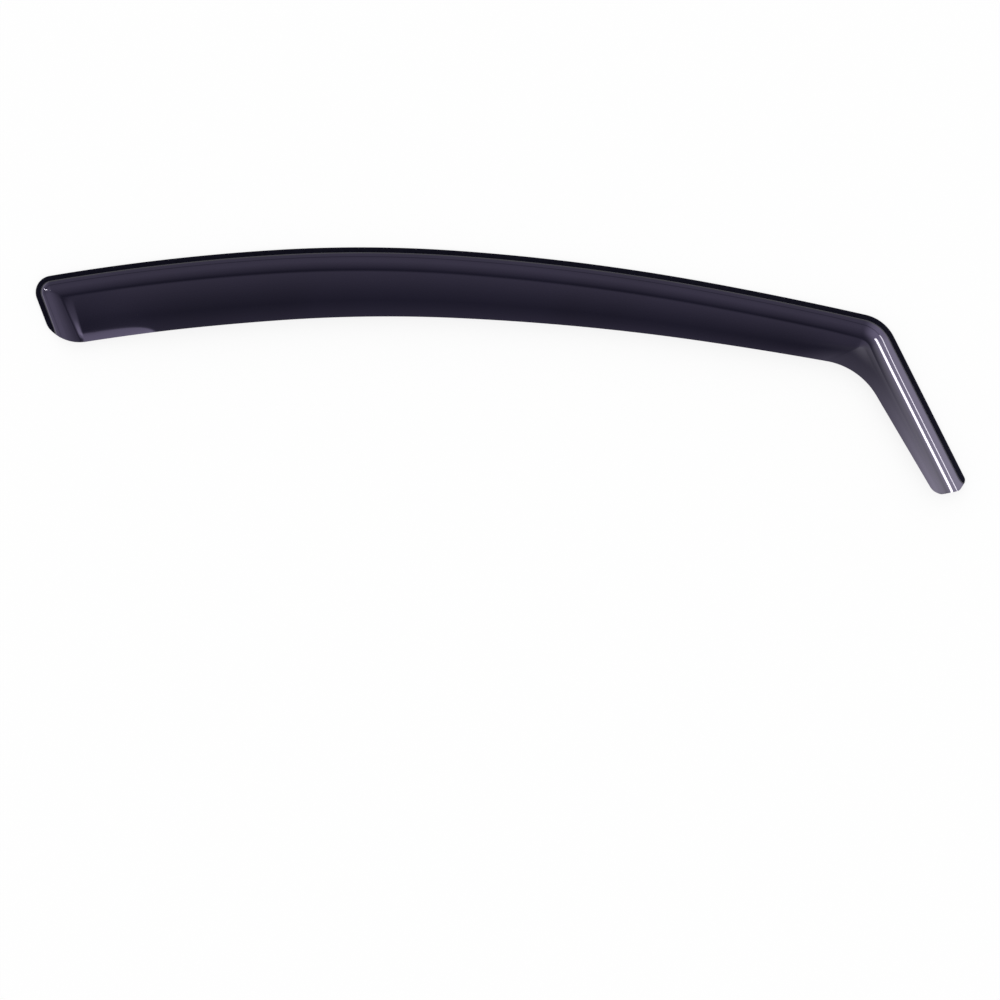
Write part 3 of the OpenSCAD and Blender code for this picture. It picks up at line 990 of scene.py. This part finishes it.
def panel_share(station, t):
    """A point at share t of the way from the lip to the free edge."""
    lip = crease_e(station) + lip_e(station)
    if station[0] < LEG:
        return mix(line_point(station, lip), free_edge(station), t)
    tip_station = (LEG, 1.0)
    e_tip = mix(crease_e(tip_station) + lip_e(tip_station), tip_last[0], crowded(t))
    return mix(panel_share(leg_root, t), leg_point(e_tip, tip_at(e_tip)), leg_share(station[1]))


def front_of(station, rows):
    crease, lip = crease_e(station), lip_e(station)
    crease_z = rows[-1][1]
    points = [(*line_point(station, e), z) for e, z, _, _ in rows]
    for t in LIP_SHARES:
        e = crease + lip * t
        point = line_point(station, e)
        points.append((*point, crease_z + panel_height(station, point, e)))
    for t in PANEL_SHARES:
        on_leg = leg_share(station[1]) if station[0] == LEG else 0
        e = mix(crease + lip, station_width(station), mix(t, crowded(t), on_leg))
        point = panel_share(station, t)
        points.append((*point, crease_z + panel_height(station, point, e)))
    return points


sections = [section(s) for s in stations]
front = [front_of(s, rows) for s, rows in zip(stations, sections)]
print("front:", len(front), "stations of", len(front[0]), "points")


# %% [markdown]
# ## The back and the skin
# The back follows the front at the sheet's thickness. Over the flange, riser and shoulder the
# section already knows its partner points. Over the panel each point moves 3 mm against the
# surface's own direction, which comes from its neighbours along the sheet and from its slope
# across it. In front of the highest point the bow gives that slope without any neighbours, so
# the rounded tip, where rows and stations run nearly parallel, keeps an even thickness.

# %% Move the front in by the thickness
PROBE = 0.05  # how far to each side of a point the bow's slope is measured


def across(i, j):
    """The front's step across the sheet, for one millimetre of width where the bow gives it."""
    station = stations[i]
    first = len(sections[i]) + len(LIP_SHARES)
    if station[0] <= REAR or j < first:
        return Vector(front[i][min(len(front[i]) - 1, j + 1)]) - Vector(front[i][j - 1])
    lip = crease_e(station) + lip_e(station)
    width_here = station_width(station)
    t = PANEL_SHARES[j - first]
    if station[0] == LEG:
        e = mix(lip, width_here, mix(t, crowded(t), leg_share(station[1])))
        step = (sin(bend_end[2]), -cos(bend_end[2]))
    else:
        e = mix(lip, width_here, t)
        near, far = line_point(station, lip), free_edge(station)
        step = [(far[k] - near[k]) / (width_here - lip) for k in (0, 1)]
    low, high = (panel_height(station, (0, 0), e + side) for side in (-PROBE, PROBE))
    return Vector((*step, (high - low) / (2 * PROBE)))


def back_of(i):
    rows = sections[i]
    k = min(len(stations) - 2, max(1, i))
    points = [(*line_point(stations[i], e), z) for _, _, e, z in rows]
    for j in range(len(rows), len(front[i])):
        on = Vector(front[k + 1][j]) - Vector(front[k - 1][j])
        out = across(k, j).cross(on).normalized()
        points.append(tuple(Vector(front[i][j]) - WALL * out))
    return points


back = [back_of(i) for i in range(len(stations))]
FORM_ROW = RIM_STEPS + 1 + FLANGE_STEPS  # the first row beyond the level flange
thickness = [
    (Vector(f) - Vector(b)).length
    for fs, bs in zip(front, back)
    for f, b in zip(fs[FORM_ROW:], bs[FORM_ROW:])
]
print("thickness:", round(min(thickness), 2), "to", round(max(thickness), 2), "mm")


# %% Join front, back and cut edges into one closed skin
RIM_ROWS = RIM_STEPS // 2
FLANGE_ROWS = FORM_ROW + FORM_STEPS
LINE_ROW = FLANGE_ROWS + TOP_STEPS + 1 + len(SHOULDER_SHARES) + 2
CREASE_ROW = len(sections[0]) - 1
CREASE_FADE = 2.2
# Painted shade: how much shine each row of the styling line and the crease loses
CREASE_SHADE_LEVELS = {
    LINE_ROW - 1: 0.5,
    LINE_ROW: 0.9,
    LINE_ROW + 1: 0.5,
    CREASE_ROW - 3: 0.25,
    CREASE_ROW - 2: 0.5,
    CREASE_ROW - 1: 0.9,
    CREASE_ROW: 1.0,
    CREASE_ROW + 1: 0.6,
    CREASE_ROW + 2: 0.2,
}


def make_skin():
    m, n = len(front), len(front[0])
    under = m * n
    points = [Vector(p) * MM for row in front + back for p in row]
    faces, cut = [], []

    def face(*corners, is_cut=False):
        faces.append(corners)
        cut.append(is_cut)

    for i in range(m - 1):
        for j in range(n - 1):
            k = i * n + j
            face(k, k + n, k + n + 1, k + 1)
            face(under + k, under + k + 1, under + k + n + 1, under + k + n)
        k = i * n
        face(k, under + k, under + k + n, k + n, is_cut=True)
        k = i * n + n - 1
        face(k, k + n, under + k + n, under + k, is_cut=True)
    for j in range(n - 1):
        k = j
        face(k, k + 1, under + k + 1, under + k, is_cut=True)
        k = (m - 1) * n + j
        face(k, under + k, under + k + 1, k + 1, is_cut=True)
    mesh = bpy.data.meshes.new("deflector_sheet")
    mesh.from_pydata(points, [], faces)
    mesh.shade_smooth()
    for i in range(m - 1):
        first = RIM_ROWS if stations[i][0] in (AROUND, BENDING) else 0
        for j in range(first, FLANGE_ROWS):
            mesh.polygons[i * 2 * n + 2 * j].material_index = 1
    # Painted shade in the styling line and the crease; the crease's fades out on the leg and at the
    # rear end
    painted_crease_shade = mesh.attributes.new("painted_crease_shade", "FLOAT", "POINT")
    for i in range(m):
        crease_kept = clamp(1 - CREASE_FADE * leg_part(stations[i]) - end_part(stations[i]))
        for j, level in CREASE_SHADE_LEVELS.items():
            painted_crease_shade.data[i * n + j].value = level * (1 if j <= LINE_ROW + 1 else crease_kept)
    edge = mesh.attributes.new("sawn", "FLOAT", "FACE")
    edge.data.foreach_set("value", [float(is_cut) for is_cut in cut])
    return mesh, cut


sheet_mesh, cut_faces = make_skin()
deflector = bpy.data.objects.new("deflector_sheet", sheet_mesh)
bpy.context.scene.collection.objects.link(deflector)
print("skin:", len(sheet_mesh.polygons), "faces, problems:", sheet_mesh.validate(verbose=False))

# %% [markdown]
# ## The cut edges
# A saw or a laser leaves a square edge, and the maker breaks it with a scraper, so it catches a
# hair of light. A Bevel modifier rounds only the edges that we weight: those between the cut faces
# and the moulded faces, apart from the rim, which the section has already rounded.


# %% Weight the square edges and round them
def round_cut_edges(obj, cut, amount):
    mesh = obj.data
    n = len(front[0])
    rim_row = set(range(0, len(front) * n, n))
    owners = {}
    for polygon in mesh.polygons:
        for key in polygon.edge_keys:
            owners.setdefault(key, []).append(cut[polygon.index])
    weights = mesh.attributes.new("bevel_weight_edge", "FLOAT", "EDGE")
    count = 0
    for edge in mesh.edges:
        sides = owners[edge.key]
        if sides[0] != sides[1] and not set(edge.vertices) <= rim_row:
            weights.data[edge.index].value = 1.0
            count += 1
    bevel = obj.modifiers.new("broken edges", "BEVEL")
    bevel.limit_method = "WEIGHT"
    bevel.width = amount
    bevel.segments = 3
    bevel.harden_normals = True
    return count


EDGE_ROUND = 0.1 * MM
print("rounded edges:", round_cut_edges(deflector, cut_faces, EDGE_ROUND))

# %% [markdown]
# ## Smoke acrylic
# Cast acrylic in smoke grey is nearly black at 3 mm, with a violet cast, and almost as smooth as
# glass. What tells it from black paint is small: the polish is not the same everywhere, forming
# leaves the faintest waves, handling leaves a few hairline scratches and specks of dust, and the
# sawn edges are duller. The crease and the styling line get a painted shade: part of their shine
# is taken away, so both read as thin dark lines. On the leg and at the rear end the crease has
# none of this painted shade.

# %% Parts that both finishes share
def fresh_tree(name):
    material = bpy.data.materials.new(name)
    material.use_nodes = True
    material.node_tree.nodes.clear()
    return material, material.node_tree


def noise(tree, scale, detail):
    place = add_node(tree, "TexCoord").outputs["Object"]
    cloudy = {"Vector": place, "Scale": scale, "Detail": detail}
    return add_node(tree, "TexNoise", cloudy).outputs[0]


def thin_lines(tree, scale, angle, low, high):
    """Hairlines: the steepest places of a noise that is stretched along one direction."""
    place = add_node(tree, "TexCoord").outputs["Object"]
    drawn_out = {"Vector": place, "Rotation": (0, 0, angle), "Scale": (0.04, 1, 0.04)}
    place = add_node(tree, "Mapping", drawn_out).outputs[0]
    lines = add_node(tree, "TexNoise", {"Vector": place, "Scale": scale, "Detail": 1})
    return remap(tree, lines.outputs[0], low, high)


# %% Make the smoke acrylic
acrylic, tree = fresh_tree("smoke_acrylic")
cloud = noise(tree, 9, 2)
tint = add_ramp(tree, cloud, [(0.35, (0.0052, 0.0048, 0.0112)), (0.65, (0.0066, 0.0060, 0.0140))])

dust = remap(tree, noise(tree, 420, 1), 0.80, 0.84)
scratches = add_math(
    tree,
    "MAXIMUM",
    thin_lines(tree, 900, 0.5, 0.74, 0.80),
    thin_lines(tree, 1300, -0.9, 0.76, 0.82),
)
marks = add_math(tree, "MAXIMUM", dust, add_math(tree, "MULTIPLY", scratches, 0.5))
sawn = add_node(tree, "Attribute", attribute_name="sawn").outputs["Fac"]
# Painted shade: the crease and the styling line lose part of their shine
painted_crease_shade = add_node(tree, "Attribute", attribute_name="painted_crease_shade").outputs["Fac"]

shade = add_node(
    tree,
    "Mix",
    {0: add_math(tree, "MULTIPLY", dust, 0.25), 6: tint, 7: (0.055, 0.052, 0.060, 1)},
    data_type="RGBA",
).outputs[2]
polish = remap(tree, noise(tree, 45, 4), 0.35, 0.75, 0.03, 0.07)
polish = add_math(tree, "ADD", polish, add_math(tree, "MULTIPLY", marks, 0.12))
polish = add_math(tree, "ADD", polish, add_math(tree, "MULTIPLY", sawn, 0.3), clamp=True)
# Less shine where the painted shade lies
shine = add_math(tree, "SUBTRACT", 0.5, add_math(tree, "MULTIPLY", painted_crease_shade, 0.2))

waves = noise(tree, 25, 1)
bump = add_node(tree, "Bump", {"Strength": 0.15, "Distance": 0.0002, "Height": waves}).outputs[0]
shader = add_node(
    tree,
    "BsdfPrincipled",
    {
        "Base Color": shade,
        "Roughness": polish,
        "IOR": 1.5,
        "Specular IOR Level": shine,
        "Specular Tint": (0.94, 0.90, 1.0, 1),
        "Normal": bump,
    },
)
add_node(tree, "OutputMaterial", {0: shader.outputs[0]})
sheet_mesh.materials.append(acrylic)
print("smoke acrylic nodes:", len(tree.nodes))

# %% [markdown]
# ## The dull flange
# The flange and the riser above it go into the rubber channel. They look almost black, with no
# reflections: they get a darker finish with almost no shine.
# Round the rear corner and the bend the rim does shine, so its outer half stays polished there.

# %% Make the dull finish
dull, tree = fresh_tree("dull_flange")
grain = noise(tree, 300, 3)
shade = add_ramp(tree, grain, [(0.35, (0.0042, 0.0040, 0.0090)), (0.65, (0.0056, 0.0054, 0.0118))])
shader = add_node(
    tree,
    "BsdfPrincipled",
    {
        "Base Color": shade,
        "Roughness": remap(tree, grain, 0.3, 0.7, 0.42, 0.5),
        "IOR": 1.5,
        "Specular IOR Level": 0.02,
    },
)
add_node(tree, "OutputMaterial", {0: shader.outputs[0]})
sheet_mesh.materials.append(dull)
print("dull flange nodes:", len(tree.nodes))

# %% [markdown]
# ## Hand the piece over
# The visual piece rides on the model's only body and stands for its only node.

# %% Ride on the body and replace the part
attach(deflector, "root")
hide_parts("deflector")
print(deflector.name, "rides on root and stands for the node deflector")
